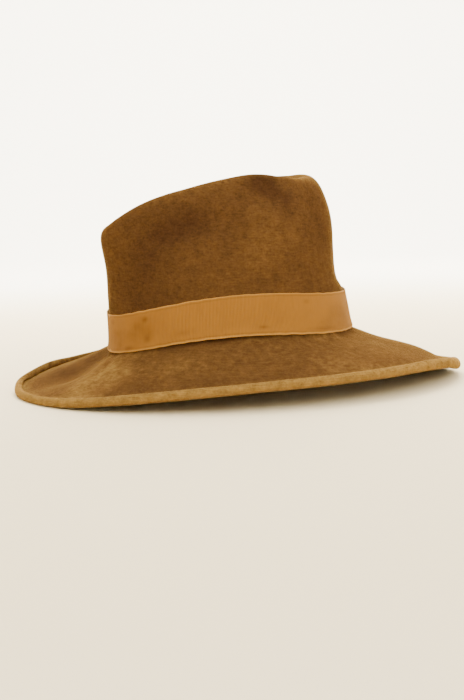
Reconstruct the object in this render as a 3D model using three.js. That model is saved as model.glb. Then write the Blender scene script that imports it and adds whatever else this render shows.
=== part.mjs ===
// A brown felt fedora with a plain ribbon, resting on its brim as it would on a table.
// Millimetres, +Z up. The wearer faces -Y and the wearer's left hand is towards +X.
// The origin lies on the table, under the middle of the hat's bounding box.

import * as THREE from "three";

// Driving dimensions
const FELT_THICKNESS = 2.2;
const RIBBON_THICKNESS = 0.9;
const RIBBON_GAP = 0.3; // room between the ribbon and the felt behind it
const TABLE_PRESS = 1.1; // how far the brim edge is flattened where it rests
const ROLL_ANGLES = [155, 111, 67, 23, -21, -65, -109]; // round the roll, from its free edge to the brim

// Mesh fineness
const COLUMNS = 64; // round the hat
const ROWS_PER_SECTION = 2;

// Each section is an oval round the hat, in the middle of the felt: its reach to the front, the
// sides and the back from the middle of the head, and its heights above the table, taken in equal
// steps from the front round either side to the back.
// The rim is the underside of the rolled edge, with the roll's radius at the same steps.
const RIM = {
  front: 191,
  side: 155.5,
  back: 181.5,
  heights: [0, 5.8, 14, 15.4, 14.8, 11.9, 6.2, 0.9, 0],
  rolls: [4.6, 4.2, 3.5, 3.2, 3.1, 3.1, 3, 2.9, 2.8],
};
const BRIM = [
  { name: "brim outer", front: 160, side: 132, back: 156, heights: [20.2, 23.8, 24, 14.7, 7.3] },
  { name: "brim inner", front: 130, side: 108, back: 130, heights: [29.6, 31.6, 33.3, 25.9, 17.4] },
];
const BAND_LOW = {
  name: "band low",
  front: 99,
  side: 81.7,
  back: 102.2,
  heights: [44.5, 43.2, 46.8, 41.2, 32.2],
};
// The bend from the crown's wall to the brim, measured from the ribbon's lower edge.
const BREAK = [
  { name: "brim root", out: 6.4, down: 4.8 },
  { name: "break", out: 2, down: 2.8 },
];
const CROWN = [
  { name: "band top", front: 93.1, side: 78.7, back: 102.3, heights: [75.2, 74.6, 78.6, 71.8, 62.7] },
  { name: "above band", front: 86.3, side: 77, back: 102.4, heights: [84.4, 84.2, 88, 80.5, 71.5] },
  { name: "mid wall", front: 84.8, side: 74, back: 102.8, heights: [108, 108, 110, 104, 96] },
  { name: "high wall", front: 84.5, side: 69, back: 106, heights: [131, 133, 134, 122, 113] },
  { name: "shoulder", front: 80.4, side: 62.5, back: 107.3, heights: [149.5, 153, 152, 136.5, 124.3] },
  { name: "brow", front: 74.2, side: 58, back: 104.5, heights: [163.3, 162.7, 163.7, 161.5, 150.7, 138.5, 131] },
  { name: "ridge", front: 66, side: 52, back: 98, heights: [169.4, 167.7, 168.4, 166.8, 155.6, 142.5, 133.5] },
  { name: "crease lip", front: 57, side: 43, back: 87, heights: [167.2, 164.7, 164, 161.2, 150.7, 139.5, 132.5] },
  { name: "crease wall", front: 46, side: 28, back: 73, heights: [162, 155.5, 146.5, 133.5, 128.5] },
  { name: "crease floor", front: 34, side: 14.5, back: 58, heights: [154, 145, 136.5, 129, 127.5] },
  { name: "crease line", front: 23, side: 7, back: 45, heights: [149, 141, 133.5, 127, 126.5] },
];

// The crown's top leans: how much higher it is on the wearer's right, and lower on the left, in
// equal steps from the front to the back, and how much of that each section takes.
const LEAN = [0, -1.2, -1.2, 2.6, 4.7, 4.7, 0];
const LEAN_SHARES = {
  "high wall": 0.25,
  shoulder: 0.65,
  brow: 0.95,
  ridge: 1,
  "crease lip": 0.9,
  "crease wall": 0.5,
  "crease floor": 0.2,
};

// Soft dents and folds. Each runs between two places, an angle from the front and a section, and
// moves the felt in or out along a soft groove, on the wearer's right or on both sides.
const RIGHT = [1];
const BOTH = [1, -1];
const FOLDS = [
  { name: "front pinch", on: BOTH, from: [52, "high wall"], to: [54, "shoulder"], width: 13, push: -4 },
  { name: "side dent", on: RIGHT, from: [86, "shoulder"], to: [72, "brow"], width: 10, push: -3.4 },
  { name: "rear fold", on: BOTH, from: [138, "high wall"], to: [106, "high wall"], width: 11, push: -3.5 },
  { name: "side swell", on: BOTH, from: [92, "high wall"], to: [84, "mid wall"], width: 16, push: 1.5 },
  { name: "brim fold", on: RIGHT, from: [164, "brim root"], to: [136, "brim outer"], width: 9, push: 1.6 },
];

const HALF = FELT_THICKNESS / 2;
const radians = THREE.MathUtils.degToRad;

// The smooth even curve through values given at equal steps from the front to the back.
function heightRound(values, angle) {
  const last = values.length - 1;
  let height = 0;
  for (let k = 0; k <= last; k++) {
    let weight = 0;
    values.forEach((value, i) => {
      const end = i === 0 || i === last ? 0.5 : 1;
      weight += end * value * Math.cos((Math.PI * k * i) / last);
    });
    const share = k === 0 || k === last ? 1 : 2;
    height += (share / last) * weight * Math.cos(k * angle);
  }
  return height;
}

// The smooth odd curve through such values, up on the wearer's right and down on the left.
function leanRound(values, angle) {
  const last = values.length - 1;
  let lean = 0;
  for (let k = 1; k < last; k++) {
    let weight = 0;
    values.forEach((value, i) => (weight += value * Math.sin((Math.PI * k * i) / last)));
    lean += (2 / last) * weight * Math.sin(k * angle);
  }
  return lean;
}

// A section's point at an angle from the front, turning towards the wearer's right.
function sectionPoint(section, angle) {
  const reach = Math.cos(angle) > 0 ? section.front : section.back;
  const lean = (LEAN_SHARES[section.name] ?? 0) * leanRound(LEAN, angle);
  return new THREE.Vector3(
    -section.side * Math.sin(angle),
    -reach * Math.cos(angle),
    heightRound(section.heights, angle) + lean,
  );
}

// The same oval moved outwards and upwards.
function movedSection(section, name, out, up) {
  return {
    name,
    front: section.front + out,
    side: section.side + out,
    back: section.back + out,
    heights: section.heights.map((height) => height + up),
  };
}

// The rolled edge, as sections round a small circle that stands on the rim's underside.
function rollSections() {
  const steps = RIM.rolls.length;
  return ROLL_ANGLES.map((angle) => {
    const out = (radius) => radius * (Math.cos(radians(angle)) - 1) - HALF;
    const up = (radius) => radius * (Math.sin(radians(angle)) + 1) + HALF;
    return {
      name: "roll",
      rows: 1,
      front: RIM.front + out(RIM.rolls[0]),
      side: RIM.side + out(RIM.rolls[(steps - 1) / 2]),
      back: RIM.back + out(RIM.rolls[steps - 1]),
      heights: RIM.heights.map((height, i) => height + up(RIM.rolls[i])),
    };
  });
}

const SECTIONS = [
  ...rollSections(),
  ...BRIM,
  ...BREAK.map((bend) => ({ ...movedSection(BAND_LOW, bend.name, bend.out, -bend.down), rows: 1 })),
  BAND_LOW,
  ...CROWN,
];
const sectionNamed = (name) => SECTIONS.find((section) => section.name === name);

// Where each section's own row lies in the finished grid.
const ROW_OF = {};
let rowCount = 0;
for (const section of SECTIONS) {
  ROW_OF[section.name] = rowCount;
  rowCount += section.rows ?? ROWS_PER_SECTION;
}
const LAST_ROW = ROW_OF[SECTIONS.at(-1).name];

const columnAngle = (column) => (2 * Math.PI * column) / COLUMNS;
const wrapped = (column) => (column + COLUMNS) % COLUMNS;
const mirrored = (column) => wrapped(-column);

// One column of the felt's middle, from the rolled edge up to the bottom of the crease.
function columnPoints(column) {
  const angle = columnAngle(column);
  const curve = new THREE.CatmullRomCurve3(SECTIONS.map((section) => sectionPoint(section, angle)));
  const spans = SECTIONS.length - 1;
  const points = [];
  for (let span = 0; span < spans; span++) {
    const rows = SECTIONS[span].rows ?? ROWS_PER_SECTION;
    for (let row = 0; row < rows; row++) {
      points.push(curve.getPoint((span + row / rows) / spans));
    }
  }
  points.push(curve.getPoint(1));
  return points;
}

// The outward direction at each point of a surface given as columns of points.
function outwardDirections(columns) {
  const shell = new Shell();
  const at = shell.addGrid(columns);
  shell.coverGrid(at, LAST_ROW + 1, true);
  shell.closeCrease(at, true);
  const normals = shell.geometry().getAttribute("normal");
  return columns.map((points, column) =>
    points.map((_, row) => new THREE.Vector3().fromBufferAttribute(normals, at(column, row))),
  );
}

// How far the folds move a point of the felt, in or out.
function foldPush(point) {
  let push = 0;
  for (const fold of FOLDS) {
    for (const side of fold.on) {
      const ends = [fold.from, fold.to].map(([angle, name]) =>
        sectionPoint(sectionNamed(name), side * radians(angle)),
      );
      const nearest = new THREE.Line3(...ends).closestPointToPoint(point, true, new THREE.Vector3());
      push += fold.push * Math.exp(-((point.distanceTo(nearest) / fold.width) ** 2));
    }
  }
  return push;
}

// The felt's middle with its folds, and its outward directions.
function feltMiddle() {
  const plain = Array.from({ length: COLUMNS }, (_, column) => columnPoints(column));
  const outward = outwardDirections(plain);
  const folded = plain.map((points, column) =>
    points.map((point, row) => point.clone().addScaledVector(outward[column][row], foldPush(point))),
  );
  return { points: folded, outward: outwardDirections(folded) };
}

// A grid that lies a given way out from the felt's middle.
function offsetGrid(middle, distance, firstRow = 0, lastRow = LAST_ROW) {
  return middle.points.map((points, column) =>
    points
      .slice(firstRow, lastRow + 1)
      .map((point, i) => point.clone().addScaledVector(middle.outward[column][firstRow + i], distance)),
  );
}

// Collects corners and triangles for one closed mesh.
class Shell {
  corners = [];
  triangles = [];

  addGrid(grid) {
    const first = this.corners.length;
    const rows = grid[0].length;
    grid.forEach((points) => this.corners.push(...points));
    return (column, row) => first + wrapped(column) * rows + row;
  }

  addQuad(a, b, c, d) {
    this.addTriangle(a, b, c);
    this.addTriangle(a, c, d);
  }

  addTriangle(a, b, c) {
    if (a !== b && b !== c && c !== a) this.triangles.push(a, b, c);
  }

  // Faces over a grid, pointing out or in.
  coverGrid(at, rows, out) {
    for (let column = 0; column < COLUMNS; column++) {
      for (let row = 0; row < rows - 1; row++) {
        const next = column + 1;
        const corners = [at(column, row), at(column, row + 1), at(next, row + 1), at(next, row)];
        this.addQuad(...(out ? corners : corners.reverse()));
      }
    }
  }

  // A strip of faces between two rings of corners.
  joinRings(from, to) {
    for (let column = 0; column < COLUMNS; column++) {
      this.addQuad(from(column), from(column + 1), to(column + 1), to(column));
    }
  }

  // Faces that close the bottom of the crease, from one side to its mirror image.
  closeCrease(at, out) {
    for (let column = 0; column < COLUMNS / 2; column++) {
      const next = column + 1;
      const columns = [next, column, mirrored(column), mirrored(next)];
      const corners = columns.map((each) => at(each, LAST_ROW));
      this.addQuad(...(out ? corners : corners.reverse()));
    }
  }

  geometry() {
    const made = new THREE.BufferGeometry().setFromPoints(this.corners);
    made.setIndex(this.triangles);
    made.computeVertexNormals();
    return made;
  }
}

// The crown, brim and rolled edge, flattened a little where the edge meets the table.
function feltBody(middle) {
  const shell = new Shell();
  const outside = shell.addGrid(offsetGrid(middle, HALF));
  const inside = shell.addGrid(offsetGrid(middle, -HALF));
  shell.coverGrid(outside, LAST_ROW + 1, true);
  shell.coverGrid(inside, LAST_ROW + 1, false);
  shell.joinRings((column) => outside(column, 0), (column) => inside(column, 0));
  shell.closeCrease(outside, true);
  shell.closeCrease(inside, false);
  for (const corner of shell.corners) corner.z = Math.max(corner.z, TABLE_PRESS);
  return shell.geometry();
}

// The ribbon, a flat loop that follows the crown's wall.
function hatBand(middle) {
  const low = ROW_OF["band low"];
  const top = ROW_OF["band top"];
  const rows = top - low + 1;
  const back = HALF + RIBBON_GAP;
  const shell = new Shell();
  const face = shell.addGrid(offsetGrid(middle, back + RIBBON_THICKNESS, low, top));
  const lining = shell.addGrid(offsetGrid(middle, back, low, top));
  shell.coverGrid(face, rows, true);
  shell.coverGrid(lining, rows, false);
  shell.joinRings((column) => face(column, 0), (column) => lining(column, 0));
  shell.joinRings((column) => lining(column, rows - 1), (column) => face(column, rows - 1));
  return shell.geometry();
}

function namedMesh(name, geometry, color, roughness) {
  const material = new THREE.MeshStandardMaterial({ color, roughness, metalness: 0 });
  const mesh = new THREE.Mesh(geometry, material);
  mesh.name = name;
  return mesh;
}

const middle = feltMiddle();
const hat = new THREE.Group();
hat.add(namedMesh("felt_body", feltBody(middle), 0x7c501f, 0.95));
hat.add(namedMesh("hat_band", hatBand(middle), 0xb98040, 0.7));

// Set the hat down with its lowest felt on the table and its box centred over the origin.
const box = new THREE.Box3().setFromObject(hat);
const centre = box.getCenter(new THREE.Vector3());
for (const piece of hat.children) piece.position.set(-centre.x, -centre.y, -box.min.z);

export default hat;
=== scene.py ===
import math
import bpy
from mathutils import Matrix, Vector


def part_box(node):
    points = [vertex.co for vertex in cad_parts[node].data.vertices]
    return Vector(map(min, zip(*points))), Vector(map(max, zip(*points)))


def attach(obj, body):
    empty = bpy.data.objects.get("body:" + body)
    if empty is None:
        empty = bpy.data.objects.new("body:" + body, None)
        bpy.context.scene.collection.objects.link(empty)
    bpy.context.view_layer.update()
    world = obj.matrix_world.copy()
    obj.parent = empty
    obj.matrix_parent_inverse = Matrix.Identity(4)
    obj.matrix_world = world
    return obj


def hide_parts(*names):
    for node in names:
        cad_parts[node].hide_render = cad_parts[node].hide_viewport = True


bl_info = {
    "name": "Felt fedora",
    "version": (1, 0, 0),
    "blender": (4, 5, 0),
    "location": "View3D > Sidebar > Hat",
    "description": "Dresses the felt hat and its ribbon and sets them on a pale studio floor",
    "category": "Object",
}

import bmesh
import bpy
import numpy as np
from bpy.props import FloatProperty, FloatVectorProperty, PointerProperty
from mathutils import Quaternion, Vector, noise
from mathutils.geometry import intersect_point_line

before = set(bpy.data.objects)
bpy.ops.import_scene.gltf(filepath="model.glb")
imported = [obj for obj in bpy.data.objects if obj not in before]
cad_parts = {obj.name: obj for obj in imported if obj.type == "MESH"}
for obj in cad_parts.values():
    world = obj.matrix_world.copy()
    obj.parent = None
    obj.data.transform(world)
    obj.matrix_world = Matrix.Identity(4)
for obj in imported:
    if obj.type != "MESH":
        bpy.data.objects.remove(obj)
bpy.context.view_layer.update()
FELT_LOW, FELT_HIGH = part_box("felt_body")
RIBBON_LOW, RIBBON_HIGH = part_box("hat_band")

# Lengths are in metres. The front of the hat points to -Y and the wearer's left to +X.
HEAD_Y = 0.00475  # the middle of the head opening, behind the middle of the brim
IMAGE_HEIGHT = 700  # pixels of the picture, which is 464 wide
SENSOR_LENGTH = 36  # millimetres of the camera's sensor along the longer side of the picture, its height

# Vertices of a solid closer than the gap become one. Two of its triangles become one face where the
# fold between them is flatter than the first angle and the corners of the face are within the second
# of a square's.
MERGE_GAP = 1e-6
FLAT_JOIN = math.radians(60)
SQUARE_JOIN = math.radians(75)

# Steps of subdivision: of the felt, once before its folds are made and once after, and of the ribbon.
FELT_LEVELS = 1
RIBBON_LEVELS = 3

# The rolled edge of the brim, from where it starts to where it is full, as shares of the way out
# from the middle of the head opening.
EDGE_START, EDGE_FULL = 0.885, 0.975

# The painted highlight on the crown's shoulder, where it turns up to the light: the height that it starts
# at, how much it faces up and outwards, from where there is none yet to where it is full, and how much
# lighter it paints the felt.
SHOULDER_Z = 0.118
SHOULDER_UP = (0.4, 0.85)
SHOULDER_OUT = (-0.2, 0.2)
SHOULDER_HIGHLIGHT_TONE = 1.1

# The line of painted shadow, with some grime, under the ribbon: its place and its reach in widths of the
# ribbon, counted up from the lower edge, and how much of it there is where the ribbon lies tight.
SHADE_AND_GRIME_PLACE = -0.03
SHADE_AND_GRIME_REACH = 0.06
SHADE_AND_GRIME_LEAST = 0.1

# Soft lumps in the felt and waves in the ribbon: how fine each layer is, and its share.
LUMPS = [(55, 1), (140, 0.5)]
WAVES = [(9, 1), (23, 0.6)]

# Small folds that the felt has on top of its main shape: the points that each runs through, how
# wide it is and which way it moves the felt.
FOLDS = [
    # Two ridges and a hollow in the brim behind the crown.
    {"path": [(-0.006, 0.114, 0.028), (-0.047, 0.150, 0.009)], "width": 0.007, "move": (0, 0, 0.0017)},
    {"path": [(-0.030, 0.111, 0.028), (-0.058, 0.150, 0.009)], "width": 0.006, "move": (0, 0, 0.0009)},
    {"path": [(0.034, 0.113, 0.027), (0.014, 0.136, 0.017)], "width": 0.024, "move": (0, 0, -0.0065)},
    # The back edge on the wearer's left, lifted, with its roll laid down on the brim.
    {"path": [(0.045, 0.172, 0.003), (0.099, 0.138, 0.008)], "width": 0.026, "move": (0, 0, 0.003)},
    {
        "path": [
            (0.0585, 0.1654, 0.0052), (0.0835, 0.1494, 0.0074), (0.1044, 0.1292, 0.0104),
            (0.1209, 0.1062, 0.0132), (0.1332, 0.0817, 0.0155),
        ],
        "width": 0.002,
        "move": (0, 0, -0.003),
    },
    # The front edge on the wearer's right, which stands out and droops, and the brim inside it.
    {
        "path": [(-0.095, -0.147, 0.014), (-0.060, -0.170, 0.009)],
        "width": 0.034,
        "move": (-0.0010, -0.0034, -0.0008),
    },
    {"path": [(-0.080, -0.160, 0.010), (-0.050, -0.178, 0.006)], "width": 0.009, "move": (0, 0, -0.0022)},
    {"path": [(-0.050, -0.128, 0.025), (-0.055, -0.150, 0.016)], "width": 0.020, "move": (0, 0, 0.0018)},
    # Fine folds in the crown's right side.
    {
        "path": [(-0.048, 0.076, 0.126), (-0.055, 0.061, 0.1325)],
        "width": 0.006,
        "move": (0.0012, -0.0006, 0),
    },
    {"path": [(-0.055, 0.061, 0.1325), (-0.065, 0.030, 0.133)], "width": 0.006, "move": (0.0013, 0, 0)},
    {"path": [(-0.058, -0.004, 0.158), (-0.062, -0.012, 0.149)], "width": 0.007, "move": (0.0012, 0, 0)},
]

# Where the felt is painted darker or lighter, as painted shade and painted light together with the lie of
# its nap: the points that each stroke runs through, how wide it is and its tone, which is light above 0.
NAP_AND_PAINTED_LIGHT = [
    # Painted shade, with darker nap, in the folds and dents in the crown's right side.
    {"path": [(-0.044, 0.082, 0.125), (-0.056, 0.060, 0.133)], "width": 0.016, "tone": -0.55},
    {"path": [(-0.056, 0.060, 0.133), (-0.066, 0.030, 0.134)], "width": 0.015, "tone": -0.5},
    {"path": [(-0.055, 0.001, 0.163), (-0.063, -0.018, 0.148)], "width": 0.013, "tone": -1.5},
    {"path": [(-0.046, -0.046, 0.148), (-0.050, -0.052, 0.127)], "width": 0.011, "tone": -0.5},
    # Painted shade at the back of the crown, and a painted highlight on the swell of its side.
    {"path": [(-0.045, 0.090, 0.110), (-0.044, 0.092, 0.074)], "width": 0.026, "tone": -0.6},
    {"path": [(-0.069, -0.008, 0.137), (-0.075, 0.004, 0.114)], "width": 0.018, "tone": 0.7},
    # Painted highlights on the two ridges in the brim behind the crown and on the edge beside them, and
    # painted shade in the hollow.
    {"path": [(-0.010, 0.118, 0.027), (-0.047, 0.150, 0.009)], "width": 0.008, "tone": 1.05},
    {"path": [(-0.032, 0.115, 0.027), (-0.058, 0.150, 0.009)], "width": 0.006, "tone": 0.75},
    {"path": [(-0.036, 0.142, 0.014), (-0.060, 0.152, 0.008)], "width": 0.018, "tone": 0.8},
    {"path": [(0.030, 0.111, 0.028), (0.030, 0.128, 0.020)], "width": 0.024, "tone": -1.3},
    # Painted shade on the back edge on the wearer's left, and on the brim inside it.
    {
        "path": [
            (0.058, 0.172, 0.006), (0.087, 0.155, 0.009), (0.109, 0.134, 0.012),
            (0.126, 0.110, 0.015), (0.139, 0.085, 0.017),
        ],
        "width": 0.014,
        "tone": -0.9,
    },
    {
        "path": [
            (0.052, 0.146, 0.0115), (0.070, 0.127, 0.016),
            (0.062, 0.111, 0.0217), (0.050, 0.105, 0.0245),
        ],
        "width": 0.012,
        "tone": -0.9,
    },
    # Painted light on the brim behind the crown on the wearer's right.
    {
        "path": [
            (-0.034, 0.110, 0.029), (-0.061, 0.119, 0.021),
            (-0.071, 0.130, 0.0148), (-0.069, 0.140, 0.0108),
        ],
        "width": 0.012,
        "tone": 0.7,
    },
    # Painted light on the felt just below the ribbon, lifting the shadow there.
    {"path": [(-0.030, 0.1025, 0.033), (-0.052, 0.091, 0.035)], "width": 0.006, "tone": 0.9},
    {
        "path": [
            (-0.082, 0.026, 0.0457), (-0.083, 0.010, 0.0456),
            (-0.078, -0.034, 0.0422), (-0.070, -0.055, 0.040),
        ],
        "width": 0.005,
        "tone": 0.9,
    },
    # Painted light on the brim along the wearer's right side.
    {"path": [(-0.128, -0.023, 0.0253), (-0.127, -0.049, 0.024)], "width": 0.012, "tone": 0.6},
    {"path": [(-0.050, 0.120, 0.021), (-0.085, 0.087, 0.027)], "width": 0.020, "tone": 0.75},
    {"path": [(-0.040, 0.121, 0.022), (-0.066, 0.127, 0.016)], "width": 0.010, "tone": 0.4},
    {"path": [(-0.100, 0.060, 0.034), (-0.105, -0.070, 0.030)], "width": 0.040, "tone": 0.7},
]

# Old marks on the ribbon, and at 163 degrees painted shade where the ribbon turns towards the back: the
# angle from the front towards the wearer's right, the place across the ribbon from its lower edge, half
# the length in metres, half the width across and how dark each is.
STAINS_AND_SHADE = [
    {"angle": 49, "across": 0.34, "long": 0.028, "wide": 0.34, "tone": 0.44},
    {"angle": 62, "across": 0.13, "long": 0.020, "wide": 0.035, "tone": 0.35},
    {"angle": 70, "across": 0.80, "long": 0.004, "wide": 0.05, "tone": 0.5},
    {"angle": 93, "across": 0.19, "long": 0.005, "wide": 0.04, "tone": 0.55},
    {"angle": 128, "across": 0.25, "long": 0.008, "wide": 0.08, "tone": 0.3},
    {"angle": 148, "across": 0.78, "long": 0.0025, "wide": 0.07, "tone": 0.5},
    {"angle": 147, "across": 0.28, "long": 0.003, "wide": 0.10, "tone": 0.4},
    {"angle": 159, "across": 0.10, "long": 0.005, "wide": 0.06, "tone": 0.5},
    # Painted shade on the ribbon towards the back, not a stain.
    {"angle": 163, "across": 0.42, "long": 0.030, "wide": 0.6, "tone": 0.5},
    {"angle": 175, "across": 0.80, "long": 0.004, "wide": 0.08, "tone": 0.4},
]

# The ribbon's solid has this many columns of vertices, and the map on it is worked out in this many
# steps round the crown.
RIBBON_COLUMNS = 64
MAP_STEPS = 720

# The sharp rims of the ribbon, and how far they are rounded.
RIM_ANGLE = math.radians(45)
RIM_BEVEL = 0.00025

# The two grooves beside the ribbon's woven edges: the middle between them and how far each lies from
# it, in widths of the ribbon.
GROOVE_MIDDLE = 0.505
GROOVE_REACH = 0.43

# Where the ribbon's lower edge stands off the felt, from the front towards the wearer's right, and
# by how much: all round, more where it is slack, and with its waves.
SLACK_ANGLE = math.radians(108)
SLACK_REACH = math.radians(38)
SLACK_LEAST, SLACK_MORE, SLACK_WAVE = 0.0007, 0.0010, 0.0004

# How far the ribbon's upper edge stands off, how far its width wavers and how often, and the share of
# its width at each edge that stands off.
UPPER_SLACK = 0.0002
WIDTH_WAVE = 0.0008
WIDTH_WAVES = 14
LOOSE_SHARE = 0.3

# Where the ribbon's end laps over its start, on the wearer's left.
JOIN_ANGLE = math.radians(-80)
JOIN_WIDTH = 0.0003
CUT_GAP = 1e-7  # vertices closer than this to a cut count as on it
LAP_RISE = 0.0007
LAP_LENGTH = 0.018

# The studio floor is round and rises all round in a curve: the radius where the curve starts, the
# curve's own radius, the top of the rise, the steps round it and the gap that is closed in its seam.
FLOOR_RADIUS = 2.2
FLOOR_CURVE = 0.9
FLOOR_TOP = 2.6
FLOOR_STEPS = 64
FLOOR_GAP = 1e-5

# The floor turns from its own colour to the backdrop's between these distances from the hat.
PALER_FROM, PALER_TO = 0.5, 1.5

# The light of the room, and each lamp's name, place, aim, power in watts, size and colour.
ROOM_COLOUR = (1, 0.97, 0.9, 1)
ROOM_STRENGTH = 1.1
LAMPS = [
    ("Key", (-1.5, 0.2, 1.5), (0, 0, 0.08), 24, 1.6, (1, 0.96, 0.88)),
    ("Overhead", (0.1, 0.1, 2.2), (0, 0, 0.08), 40, 2.0, (1, 0.96, 0.88)),
    ("Front fill", (-1.3, -1.1, 0.9), (0, 0, 0.08), 8, 1.2, (1, 0.97, 0.92)),
    ("Right edge light", (1.3, -1.2, 0.8), (0, 0, 0.1), 10, 1.0, (1, 0.85, 0.6)),
    ("Left edge light", (1.75, 0.5, 0.7), (0, 0, 0.1), 4, 1.0, (1, 0.85, 0.6)),
    ("Backdrop light", (1.3, -0.5, 2.0), (2.6, -0.95, 0.3), 330, 1.6, (1, 0.95, 0.84)),
]


class FeltSettings(bpy.types.PropertyGroup):
    """Colours and surface of the felt."""

    # The two ends of the felt's tone, mixed by random patches, the lie of the nap and painted light and
    # shade.
    light: FloatVectorProperty(
        name="Light nap", description="Felt where the nap stands to the light",
        subtype="COLOR", size=4, default=(0.09, 0.0435, 0.0132, 1),
    )
    dark: FloatVectorProperty(
        name="Dark nap", description="Felt where the nap lies away from the light",
        subtype="COLOR", size=4, default=(0.043, 0.0195, 0.0072, 1),
    )
    # Partly worn nap and partly painted light, on the rolled edge and the shoulder.
    worn_and_lit: FloatVectorProperty(
        name="Worn edges", description="Felt where the nap is rubbed",
        subtype="COLOR", size=4, default=(0.235, 0.134, 0.035, 1),
    )
    # Painted shadow, with some grime, in the line under the ribbon's lower edge.
    shade_and_grime: FloatVectorProperty(
        name="Grime", description="Felt in the line under the ribbon",
        subtype="COLOR", size=4, default=(0.014, 0.005, 0.0016, 1),
    )
    unevenness: FloatProperty(
        name="Unevenness", description="Height of the felt's soft lumps",
        unit="LENGTH", default=0.00035, min=0, precision=5,
    )


class RibbonSettings(bpy.types.PropertyGroup):
    """Colours and weave of the ribbon."""

    colour: FloatVectorProperty(
        name="Colour", description="Middle of the ribbon",
        subtype="COLOR", size=4, default=(0.262, 0.114, 0.02, 1),
    )
    # Lighter threads of the woven edges, with a painted highlight where they catch the light, most on the
    # upper edge.
    edge: FloatVectorProperty(
        name="Woven edge", description="Light threads along both edges",
        subtype="COLOR", size=4, default=(0.42, 0.205, 0.045, 1),
    )
    # The old stains, and the painted shade on the ribbon towards the back.
    stain_and_shade: FloatVectorProperty(
        name="Stains", description="Old marks on the ribbon",
        subtype="COLOR", size=4, default=(0.145, 0.058, 0.011, 1),
    )
    rib_pitch: FloatProperty(
        name="Rib pitch", description="From one cross rib to the next",
        unit="LENGTH", default=0.0011, min=0.0004, precision=5,
    )


class StageSettings(bpy.types.PropertyGroup):
    """The floor, the lights and the camera."""

    floor: FloatVectorProperty(
        name="Floor", description="Pale studio floor under the hat",
        subtype="COLOR", size=4, default=(0.84, 0.72, 0.48, 1),
    )
    backdrop: FloatVectorProperty(
        name="Backdrop", description="The floor where it rises behind the hat",
        subtype="COLOR", size=4, default=(0.9, 0.88, 0.82, 1),
    )
    camera: FloatVectorProperty(
        name="Camera", description="Where the camera stands",
        subtype="TRANSLATION", unit="LENGTH", default=(-0.93801, 0.35243, 0.14646),
    )
    looks_at: FloatVectorProperty(
        name="Looks at", description="A point in the middle of the picture",
        subtype="TRANSLATION", unit="LENGTH", default=(0, 0.0061, 0.026),
    )
    roll: FloatProperty(
        name="Roll", description="How far the camera leans",
        subtype="ANGLE", unit="ROTATION", default=math.radians(-1.65),
    )
    focal_pixels: FloatProperty(
        name="Focal length", description="Focal length in pixels of the picture",
        default=1217, min=100,
    )


class Value:
    """A shader socket that takes part in arithmetic."""

    def __init__(self, finish, socket):
        self.finish = finish
        self.socket = socket

    def __add__(self, other):
        return self.finish.maths("ADD", self, other)

    def __sub__(self, other):
        return self.finish.maths("SUBTRACT", self, other)

    def __rsub__(self, other):
        return self.finish.maths("SUBTRACT", other, self)

    def __mul__(self, other):
        return self.finish.maths("MULTIPLY", self, other)

    __radd__ = __add__
    __rmul__ = __mul__


class Finish:
    """A material and the nodes that make it."""

    # The places of a Mix node's sockets for colours.
    MIX_SHARE, MIX_FIRST, MIX_SECOND, MIX_RESULT = 0, 6, 7, 2

    def __init__(self, name):
        self.material = bpy.data.materials.new(name)
        self.material.use_nodes = True
        self.tree = self.material.node_tree
        self.shader = self.tree.nodes["Principled BSDF"]

    def add(self, kind, settings=None, sockets=None, output=0):
        """Adds a node with its settings and its sockets' values or links, and gives an output."""
        node = self.tree.nodes.new(kind)
        for name, value in (settings or {}).items():
            setattr(node, name, value)
        self.feed(node, sockets or {})
        return Value(self, node.outputs[output])

    def feed(self, node, sockets):
        """Sets or links the sockets of a node."""
        for key, value in sockets.items():
            if isinstance(value, Value):
                self.tree.links.new(value.socket, node.inputs[key])
            else:
                node.inputs[key].default_value = value

    def maths(self, operation, *values):
        return self.add("ShaderNodeMath", {"operation": operation}, dict(enumerate(values)))

    def vector_maths(self, operation, *values, output="Vector"):
        sockets = dict(enumerate(values))
        return self.add("ShaderNodeVectorMath", {"operation": operation}, sockets, output)

    def place(self):
        return self.add("ShaderNodeTexCoord", output="Object")

    def kept(self, name):
        """What the vertices keep under a name."""
        return self.add("ShaderNodeAttribute", {"attribute_name": name}, output="Fac")

    def along_axis(self, vector, axis):
        return self.add("ShaderNodeSeparateXYZ", None, {0: vector}, axis)

    def noise(self, vector, scale, detail, roughness, fourth=None):
        """Noise on the three axes of a vector, and on a fourth one where it is given."""
        settings = {"noise_dimensions": "3D"}
        sockets = {"Vector": vector, "Scale": scale, "Detail": detail, "Roughness": roughness}
        if fourth:
            settings["noise_dimensions"] = "4D"
            sockets["W"] = fourth
        return self.add("ShaderNodeTexNoise", settings, sockets, "Fac")

    def between(self, value, low, high):
        """0 below low, 1 above high and smooth between them."""
        sockets = {"Value": value, "From Min": low, "From Max": high}
        return self.add("ShaderNodeMapRange", {"interpolation_type": "SMOOTHSTEP"}, sockets)

    def mixed(self, share, first, second, blend="MIX"):
        settings = {"data_type": "RGBA", "blend_type": blend}
        sockets = {self.MIX_SHARE: share, self.MIX_FIRST: first, self.MIX_SECOND: second}
        return self.add("ShaderNodeMix", settings, sockets, self.MIX_RESULT)

    def stretched(self, vector, scale):
        return self.add("ShaderNodeMapping", None, {"Vector": vector, "Scale": scale})

    def bumped(self, height, strength, distance, under=None):
        """A bumpy normal, on top of another one where there is one under it."""
        sockets = {"Height": height, "Strength": strength, "Distance": distance}
        if under:
            sockets["Normal"] = under
        return self.add("ShaderNodeBump", None, sockets)


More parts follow.
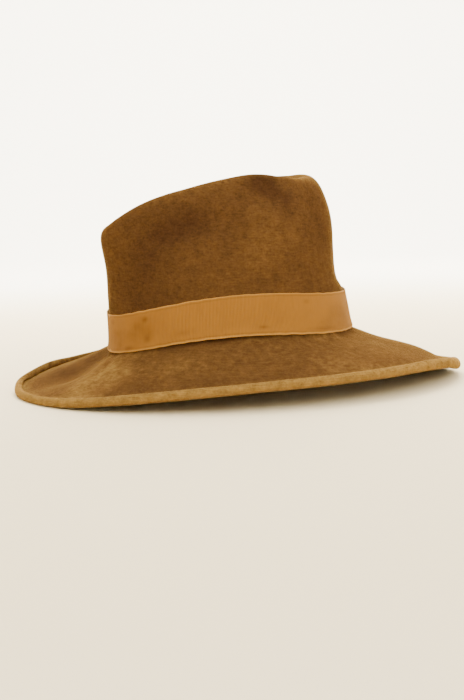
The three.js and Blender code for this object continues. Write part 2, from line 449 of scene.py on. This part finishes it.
def merged_copy(node):
    """The mesh of a solid with its loose triangles joined to one skin of four-sided faces."""
    bm = bmesh.new()
    bm.from_mesh(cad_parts[node].data)
    bmesh.ops.remove_doubles(bm, verts=bm.verts, dist=MERGE_GAP)
    bmesh.ops.join_triangles(
        bm, faces=bm.faces, angle_face_threshold=FLAT_JOIN, angle_shape_threshold=SQUARE_JOIN
    )
    return bm


def piece_from(bm, name):
    """A smoothly shaded object made of a mesh that is then let go."""
    mesh = bpy.data.meshes.new(name)
    bm.to_mesh(mesh)
    bm.free()
    mesh.shade_smooth()
    piece = bpy.data.objects.new(name, mesh)
    bpy.context.scene.collection.objects.link(piece)
    return piece


def soften(piece, levels):
    subdivision = piece.modifiers.new("Soft surface", "SUBSURF")
    subdivision.levels = levels
    subdivision.render_levels = levels


def subdivided(bm, name, levels):
    """The same skin, smoothly subdivided."""
    piece = piece_from(bm, name)
    soften(piece, levels)
    finer = bmesh.new()
    finer.from_object(piece, bpy.context.evaluated_depsgraph_get())
    mesh = piece.data
    bpy.data.objects.remove(piece)
    bpy.data.meshes.remove(mesh)
    return finer


def gap_to(place, start, end):
    """How far a place is from the straight stretch between two others."""
    nearest, share = intersect_point_line(place, start, end)
    if share < 0:
        nearest = Vector(start)
    elif share > 1:
        nearest = Vector(end)
    return (place - nearest).length


def nearness(place, row):
    """1 on the path of a fold or of a stroke of nap and painted light and shade, and less away from it.
    """
    path = row["path"]
    gap = min(gap_to(place, start, end) for start, end in zip(path, path[1:]))
    return math.exp(-((gap / row["width"]) ** 2))


def rising(value, low, high):
    """0 at low and below, 1 at high and above."""
    return min(max((value - low) / (high - low), 0), 1)


def layered_noise(place, layers):
    """Noise in layers, each with its fineness and its share."""
    return sum(share * noise.noise(place * fineness) for fineness, share in layers)


def outward(place):
    """The level direction from the middle of the head opening to a place."""
    return Vector((place.x, place.y - HEAD_Y, 0)).normalized()


def ribbon_turn(place):
    """The angle of a place on the ribbon, from the front towards the wearer's right."""
    y = place.y - HEAD_Y
    reach = HEAD_Y - RIBBON_LOW.y if y < 0 else RIBBON_HIGH.y - HEAD_Y
    return math.atan2(-place.x / RIBBON_HIGH.x, -y / reach)


def ribbon_columns(bm):
    """The vertices of the ribbon's solid, column by column round the crown."""
    columns = {}
    for vert in bm.verts:
        step = round(ribbon_turn(vert.co) * RIBBON_COLUMNS / (2 * math.pi))
        columns.setdefault(step % RIBBON_COLUMNS, []).append(vert.co.copy())
    return [sorted(columns[key], key=lambda place: place.z) for key in sorted(columns)]


def slackness(angle):
    """How loosely the ribbon's lower edge lies on the felt, most on the wearer's right."""
    return math.exp(-(((angle - SLACK_ANGLE) / SLACK_REACH) ** 2))


class RibbonMap:
    """Places on the ribbon, along it in metres and across it from 0 at the lower edge to 1."""

    def __init__(self, bm):
        columns = ribbon_columns(bm)
        self.steps = [ribbon_turn(column[0]) for column in columns]
        self.low = [column[0].z for column in columns]
        self.high = [column[-1].z for column in columns]
        self.angles = np.linspace(-math.pi, math.pi, MAP_STEPS + 1)
        reach = np.where(np.cos(self.angles) > 0, HEAD_Y - RIBBON_LOW.y, RIBBON_HIGH.y - HEAD_Y)
        x = RIBBON_HIGH.x * np.sin(self.angles)
        y = reach * np.cos(self.angles)
        self.lengths = np.concatenate([[0], np.hypot(np.diff(x), np.diff(y)).cumsum()])

    def along(self, angle):
        return float(np.interp(angle, self.angles, self.lengths))

    def across(self, place, angle):
        low = np.interp(angle, self.steps, self.low, period=2 * math.pi)
        high = np.interp(angle, self.steps, self.high, period=2 * math.pi)
        return float((place.z - low) / (high - low))

    def lay(self, bm):
        """Writes the places as a UV map."""
        layer = bm.loops.layers.uv.new("ribbon")
        for face in bm.faces:
            middle = ribbon_turn(face.calc_center_median())
            for loop in face.loops:
                angle = ribbon_turn(loop.vert.co)
                turns = round((middle - angle) / (2 * math.pi))
                along = self.along(angle) + turns * self.lengths[-1]
                loop[layer].uv = (along, self.across(loop.vert.co, angle))


def edge_share(place):
    """0 on the brim and 1 on its rolled edge."""
    reach = HEAD_Y - FELT_LOW.y if place.y < HEAD_Y else FELT_HIGH.y - HEAD_Y
    out = math.hypot(place.x / FELT_HIGH.x, (place.y - HEAD_Y) / reach)
    return rising(out, EDGE_START, EDGE_FULL)


def shoulder_highlight_share(vert):
    """1 on the crown's shoulder, where the felt turns up from the side but not into the crease; it gets a
    painted highlight.
    """
    if vert.co.z <= SHOULDER_Z:
        return 0
    away = outward(vert.co).dot(vert.normal)
    return rising(vert.normal.z, *SHOULDER_UP) * rising(away, *SHOULDER_OUT)


def mark_felt(bm):
    """Keeps on each vertex how its nap lies together with painted light and shade, its share of the
    rolled edge, and its painted shadow and grime under the ribbon.
    """
    nap, edge, shade_and_grime = (bm.verts.layers.float.new(name) for name in ("nap", "edge", "shade_and_grime"))
    solid = merged_copy("hat_band")
    ribbon_map = RibbonMap(solid)
    solid.free()
    for vert in bm.verts:
        # The strokes paint light and shade along with the nap's tone, and the shoulder gets a painted
        # highlight.
        light_and_nap_strokes = sum(row["tone"] * nearness(vert.co, row) for row in NAP_AND_PAINTED_LIGHT)
        vert[nap] = light_and_nap_strokes + SHOULDER_HIGHLIGHT_TONE * shoulder_highlight_share(vert)
        vert[edge] = edge_share(vert.co)
        # Painted shadow with some grime just below the ribbon's lower edge, most where the ribbon is
        # slack.
        angle = ribbon_turn(vert.co)
        above = (ribbon_map.across(vert.co, angle) - SHADE_AND_GRIME_PLACE) / SHADE_AND_GRIME_REACH
        amount = SHADE_AND_GRIME_LEAST + (1 - SHADE_AND_GRIME_LEAST) * slackness(angle)
        vert[shade_and_grime] = amount * math.exp(-(above ** 2))


def brushed(felt, place):
    """Short streaks that run round the hat, as its nap is brushed."""
    changes_round, changes_across = 15, 1000
    flat = felt.vector_maths("MULTIPLY", place, (1, 1, 0))
    radius = felt.vector_maths("LENGTH", flat, output="Value")
    turn = felt.vector_maths("NORMALIZE", flat)
    turn = felt.vector_maths("MULTIPLY", turn, (changes_round, changes_round, changes_round))
    height = felt.along_axis(place, "Z")
    rise = felt.add("ShaderNodeCombineXYZ", None, {"Z": height * changes_across})
    vector = felt.vector_maths("ADD", turn, rise)
    return felt.noise(vector, scale=1, detail=2, roughness=0.6, fourth=radius * changes_across)


def felt_finish(settings):
    """Short-napped fur felt, with painted shade in its hollows, painted light on its ridges and a rolled
    edge that is worn and painted lighter.
    """
    felt = Finish("Napped felt")
    place = felt.place()
    lay, edge, shade_and_grime = (felt.kept(name) for name in ("nap", "edge", "shade_and_grime"))
    patches = felt.noise(place, scale=38, detail=3, roughness=0.6)
    mottle = felt.noise(place, scale=190, detail=3, roughness=0.65)
    hairs = felt.noise(place, scale=700, detail=2, roughness=0.6)
    streaks = brushed(felt, place)
    # The tone mixes random patches with the strokes of nap and painted light and shade.
    tone = 0.5 + lay * 0.45 + (patches - 0.5) * 0.75
    grain = 1 + (mottle - 0.5) * 0.85 + (streaks - 0.5) * 0.9 + (hairs - 0.5) * 0.7
    # The lighter rolled edge and shoulder: partly worn nap and partly painted light.
    rubbed_and_lit = felt.between(edge + lay * 0.35 + (mottle - 0.5) * 0.6, 0.2, 1.2)
    colour = felt.mixed(tone, settings.dark, settings.light)
    colour = felt.mixed(rubbed_and_lit * 0.7, colour, settings.worn_and_lit)
    colour = felt.mixed(1, colour, grain, "MULTIPLY")
    # Painted shadow, with some grime, under the ribbon's lower edge.
    colour = felt.mixed(shade_and_grime * 0.8, colour, settings.shade_and_grime)
    fuzz = felt.bumped(hairs * 0.6 + streaks * 0.4, strength=0.5, distance=0.0008)
    fuzz = felt.bumped(mottle, strength=0.2, distance=0.002, under=fuzz)
    felt.feed(felt.shader, {
        "Base Color": colour,
        "Roughness": 0.86 + hairs * 0.12,
        "Normal": fuzz,
        "Sheen Weight": 0.3,
        "Sheen Roughness": 0.22,
        "Sheen Tint": (1, 0.62, 0.2, 1),
        "Specular IOR Level": 0,
    })
    return felt.material


def ribbon_finish(settings, length):
    """Ribbed ribbon with light woven edges that carry a painted highlight, a few old stains and painted
    shade towards the back.
    """
    ribbon = Finish("Ribbed ribbon")
    place = ribbon.place()
    stain_and_shade = ribbon.kept("stain_and_shade")
    flat = ribbon.add("ShaderNodeUVMap", {"uv_map": "ribbon"})
    along, across = (ribbon.along_axis(flat, axis) for axis in "XY")
    rib_count = round(length / settings.rib_pitch)
    ribs = ribbon.maths("SINE", along * (2 * math.pi * rib_count / length))
    patches = ribbon.noise(place, scale=45, detail=3, roughness=0.6)
    strands = ribbon.stretched(place, (900, 900, 80))
    threads = ribbon.noise(strands, scale=1, detail=2, roughness=0.6)
    fray = (patches - 0.5) * 0.03
    # The lighter woven edges, with a painted highlight where they catch the light, most on the upper
    # edge.
    lower_edge_and_highlight = ribbon.between(fray - across, -0.055, -0.03)
    upper_edge_and_highlight = ribbon.between(across + fray, 0.97, 0.99)
    from_middle = ribbon.maths("ABSOLUTE", across - GROOVE_MIDDLE)
    from_groove = ribbon.maths("ABSOLUTE", from_middle - GROOVE_REACH)
    groove = 1 - ribbon.between(from_groove, 0.008, 0.02)
    # Old stains with the painted shade towards the back, and random dirt.
    dirt_and_shade = stain_and_shade * (0.5 + patches) + (patches - 0.4) * 0.7 + (threads - 0.5) * 0.6
    soil_and_shade = ribbon.maths("MAXIMUM", ribbon.between(dirt_and_shade, 0, 1.1), groove * 0.35)
    colour = ribbon.mixed(soil_and_shade, settings.colour, settings.stain_and_shade)
    colour = ribbon.mixed((lower_edge_and_highlight + upper_edge_and_highlight * 1.2) * 0.75, colour, settings.edge)
    colour = ribbon.mixed(1, colour, 1 + ribs * 0.07 + (threads - 0.5) * 0.3, "MULTIPLY")
    relief = ribs * 0.5 + threads * 0.6 - groove * 0.4
    ribbon.feed(ribbon.shader, {
        "Base Color": colour,
        "Roughness": 0.66 + threads * 0.2,
        "Normal": ribbon.bumped(relief, strength=0.7, distance=0.0005),
        "Sheen Weight": 0.04,
        "Sheen Roughness": 0.3,
        "Sheen Tint": (1, 0.65, 0.25, 1),
        "Specular IOR Level": 0.03,
    })
    return ribbon.material


def studio_finish(settings):
    """Plain paper that turns paler away from the hat."""
    paper = Finish("Pale paper")
    from_hat = paper.vector_maths("LENGTH", paper.place(), output="Value")
    paler = paper.between(from_hat, PALER_FROM, PALER_TO)
    colour = paper.mixed(paler, settings.floor, settings.backdrop)
    paper.feed(paper.shader, {"Base Color": colour, "Roughness": 0.85})
    return paper.material


class HAT_OT_felt(bpy.types.Operator):
    """Build the felt crown and brim with their nap, painted light and shade, folds, and edges that are
    worn and painted lighter
    """

    bl_idname = "hat.felt"
    bl_label = "Felt body"

    def execute(self, context):
        settings = context.scene.hat_felt
        bm = subdivided(merged_copy("felt_body"), "felt_hat", FELT_LEVELS)
        for vert in bm.verts:
            lumps = layered_noise(vert.co, LUMPS) * settings.unevenness
            moves = [Vector(fold["move"]) * nearness(vert.co, fold) for fold in FOLDS]
            vert.co += sum(moves, vert.normal * lumps)
            vert.co.z = max(vert.co.z, 0)
        mark_felt(bm)
        felt = piece_from(bm, "felt_hat")
        felt.data.materials.append(felt_finish(settings))
        soften(felt, FELT_LEVELS)
        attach(felt, "root")
        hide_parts("felt_body")
        return {"FINISHED"}


def round_rims(bm):
    """Rounds the sharp rims of the ribbon a little."""
    rims = [edge for edge in bm.edges if edge.calc_face_angle(0) > RIM_ANGLE]
    bmesh.ops.bevel(
        bm, geom=rims, offset=RIM_BEVEL, segments=1, profile=0.5, affect="EDGES", material=-1
    )


def cut_join(bm):
    """Cuts the ribbon along both sides of its join, on the wearer's left, for a sharp step there."""
    for turn in (JOIN_ANGLE, JOIN_ANGLE + JOIN_WIDTH / RIBBON_HIGH.x):
        x = -RIBBON_HIGH.x * math.sin(turn)
        y = (RIBBON_LOW.y - HEAD_Y) * math.cos(turn)
        side = Vector((x, y, 0)).cross((0, 0, 1)).normalized()
        faces = [face for face in bm.faces if face.calc_center_median().x > 0]
        edges = {edge for face in faces for edge in face.edges}
        verts = {vert for face in faces for vert in face.verts}
        bmesh.ops.bisect_plane(
            bm, geom=[*verts, *edges, *faces], dist=CUT_GAP,
            plane_co=(0, HEAD_Y, 0), plane_no=side,
        )


def stain_and_shade_tone(ribbon_map, along, across):
    """How dark the old stains and the painted shade towards the back are at a place on the ribbon."""
    tone = 0
    for mark in STAINS_AND_SHADE:
        beside = (along - ribbon_map.along(math.radians(mark["angle"]))) / mark["long"]
        above = (across - mark["across"]) / mark["wide"]
        tone += mark["tone"] * math.exp(-(beside ** 2) - above ** 2)
    return tone


def wear_ribbon(bm, ribbon_map):
    """Lets the ribbon's edges wave and stand off a little, laps its end and keeps its stains and painted
    shade.
    """
    stain_and_shade = bm.verts.layers.float.new("stain_and_shade")
    for vert in bm.verts:
        angle = ribbon_turn(vert.co)
        along = ribbon_map.along(angle)
        across = ribbon_map.across(vert.co, angle)
        vert[stain_and_shade] = stain_and_shade_tone(ribbon_map, along, across)
        ring = Vector((math.cos(angle), math.sin(angle), 0))
        wave = layered_noise(ring, WAVES)
        lower = max(1 - across / LOOSE_SHARE, 0) ** 2
        upper = max(1 - (1 - across) / LOOSE_SHARE, 0) ** 2
        lift = lower * (SLACK_LEAST + SLACK_MORE * slackness(angle) + SLACK_WAVE * wave)
        lift += upper * (UPPER_SLACK + UPPER_SLACK * wave)
        lap = along - ribbon_map.along(JOIN_ANGLE)
        lift += LAP_RISE * rising(lap, 0, JOIN_WIDTH) * rising(LAP_LENGTH - lap, 0, LAP_LENGTH)
        vert.co += outward(vert.co) * lift
        waver = noise.noise(ring * WIDTH_WAVES + Vector((0, 0, across * 2)))
        vert.co.z += (across - 0.5) * WIDTH_WAVE * waver


class HAT_OT_ribbon(bpy.types.Operator):
    """Build the ribbon round the crown with its ribs and woven edges"""

    bl_idname = "hat.ribbon"
    bl_label = "Ribbon"

    def execute(self, context):
        settings = context.scene.hat_ribbon
        bm = merged_copy("hat_band")
        ribbon_map = RibbonMap(bm)
        ribbon_map.lay(bm)
        round_rims(bm)
        bm = subdivided(bm, "ribbon", RIBBON_LEVELS)
        cut_join(bm)
        wear_ribbon(bm, ribbon_map)
        ribbon = piece_from(bm, "ribbon")
        ribbon.data.materials.append(ribbon_finish(settings, ribbon_map.lengths[-1]))
        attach(ribbon, "root")
        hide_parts("hat_band")
        return {"FINISHED"}


def set_up(name, data, place, aim):
    """A lamp or camera that stands at a place and points at another."""
    thing = bpy.data.objects.new(name, data)
    thing.location = place
    thing.rotation_mode = "QUATERNION"
    thing.rotation_quaternion = (Vector(aim) - Vector(place)).to_track_quat("-Z", "Y")
    bpy.context.scene.collection.objects.link(thing)
    return thing


class HAT_OT_stage(bpy.types.Operator):
    """Build the pale floor with its curved rise, the lights and the camera"""

    bl_idname = "hat.stage"
    bl_label = "Floor, lights and camera"

    def execute(self, context):
        settings = context.scene.hat_stage
        self.floor(settings)
        self.lights()
        self.camera(settings)
        return {"FINISHED"}

    @staticmethod
    def floor(settings):
        bm = bmesh.new()
        profile = [(0, 0), (FLOOR_RADIUS / 2, 0)]
        for degrees in range(0, 91, 10):
            turn = math.radians(degrees)
            out = FLOOR_RADIUS + FLOOR_CURVE * math.sin(turn)
            profile.append((out, FLOOR_CURVE - FLOOR_CURVE * math.cos(turn)))
        profile.append((FLOOR_RADIUS + FLOOR_CURVE, FLOOR_TOP))
        verts = [bm.verts.new((x, 0, z)) for x, z in profile]
        edges = [bm.edges.new(pair) for pair in zip(verts, verts[1:])]
        bmesh.ops.spin(
            bm, geom=verts + edges, cent=(0, 0, 0), axis=(0, 0, 1), angle=2 * math.pi,
            steps=FLOOR_STEPS, use_merge=True,
        )
        bmesh.ops.remove_doubles(bm, verts=bm.verts, dist=FLOOR_GAP)
        bmesh.ops.recalc_face_normals(bm, faces=bm.faces)
        floor = piece_from(bm, "studio_floor")
        floor.data.materials.append(studio_finish(settings))

    @staticmethod
    def lights():
        world = bpy.data.worlds.new("Studio")
        bpy.context.scene.world = world
        world.use_nodes = True
        background = world.node_tree.nodes["Background"]
        background.inputs["Color"].default_value = ROOM_COLOUR
        background.inputs["Strength"].default_value = ROOM_STRENGTH
        for name, place, aim, power, size, colour in LAMPS:
            light = bpy.data.lights.new(name, "AREA")
            light.energy = power
            light.size = size
            light.color = colour
            lamp = set_up(name, light, place, aim)
            lamp.visible_camera = False

    @staticmethod
    def camera(settings):
        data = bpy.data.cameras.new("Camera")
        data.sensor_fit = "AUTO"
        data.sensor_width = SENSOR_LENGTH
        data.lens = SENSOR_LENGTH * settings.focal_pixels / IMAGE_HEIGHT
        camera = set_up("Camera", data, settings.camera, settings.looks_at)
        camera.rotation_quaternion @= Quaternion((0, 0, 1), settings.roll)
        bpy.context.scene.camera = camera


class HAT_PT_sidebar(bpy.types.Panel):
    """The hat's pieces and their settings"""

    bl_idname = "HAT_PT_sidebar"
    bl_label = "Hat"
    bl_space_type = "VIEW_3D"
    bl_region_type = "UI"
    bl_category = "Hat"

    def draw(self, context):
        scene = context.scene
        for operator, settings in (
            (HAT_OT_felt, scene.hat_felt),
            (HAT_OT_ribbon, scene.hat_ribbon),
            (HAT_OT_stage, scene.hat_stage),
        ):
            box = self.layout.box()
            box.operator(operator.bl_idname)
            for name in settings.__annotations__:
                box.prop(settings, name)


CLASSES = (
    FeltSettings,
    RibbonSettings,
    StageSettings,
    HAT_OT_felt,
    HAT_OT_ribbon,
    HAT_OT_stage,
    HAT_PT_sidebar,
)


def register():
    for each in CLASSES:
        bpy.utils.register_class(each)
    bpy.types.Scene.hat_felt = PointerProperty(type=FeltSettings)
    bpy.types.Scene.hat_ribbon = PointerProperty(type=RibbonSettings)
    bpy.types.Scene.hat_stage = PointerProperty(type=StageSettings)


def unregister():
    del bpy.types.Scene.hat_stage
    del bpy.types.Scene.hat_ribbon
    del bpy.types.Scene.hat_felt
    for each in reversed(CLASSES):
        bpy.utils.unregister_class(each)


def main():
    register()
    bpy.ops.hat.felt()
    bpy.ops.hat.ribbon()
    bpy.ops.hat.stage()


if __name__ == "__main__":
    main()
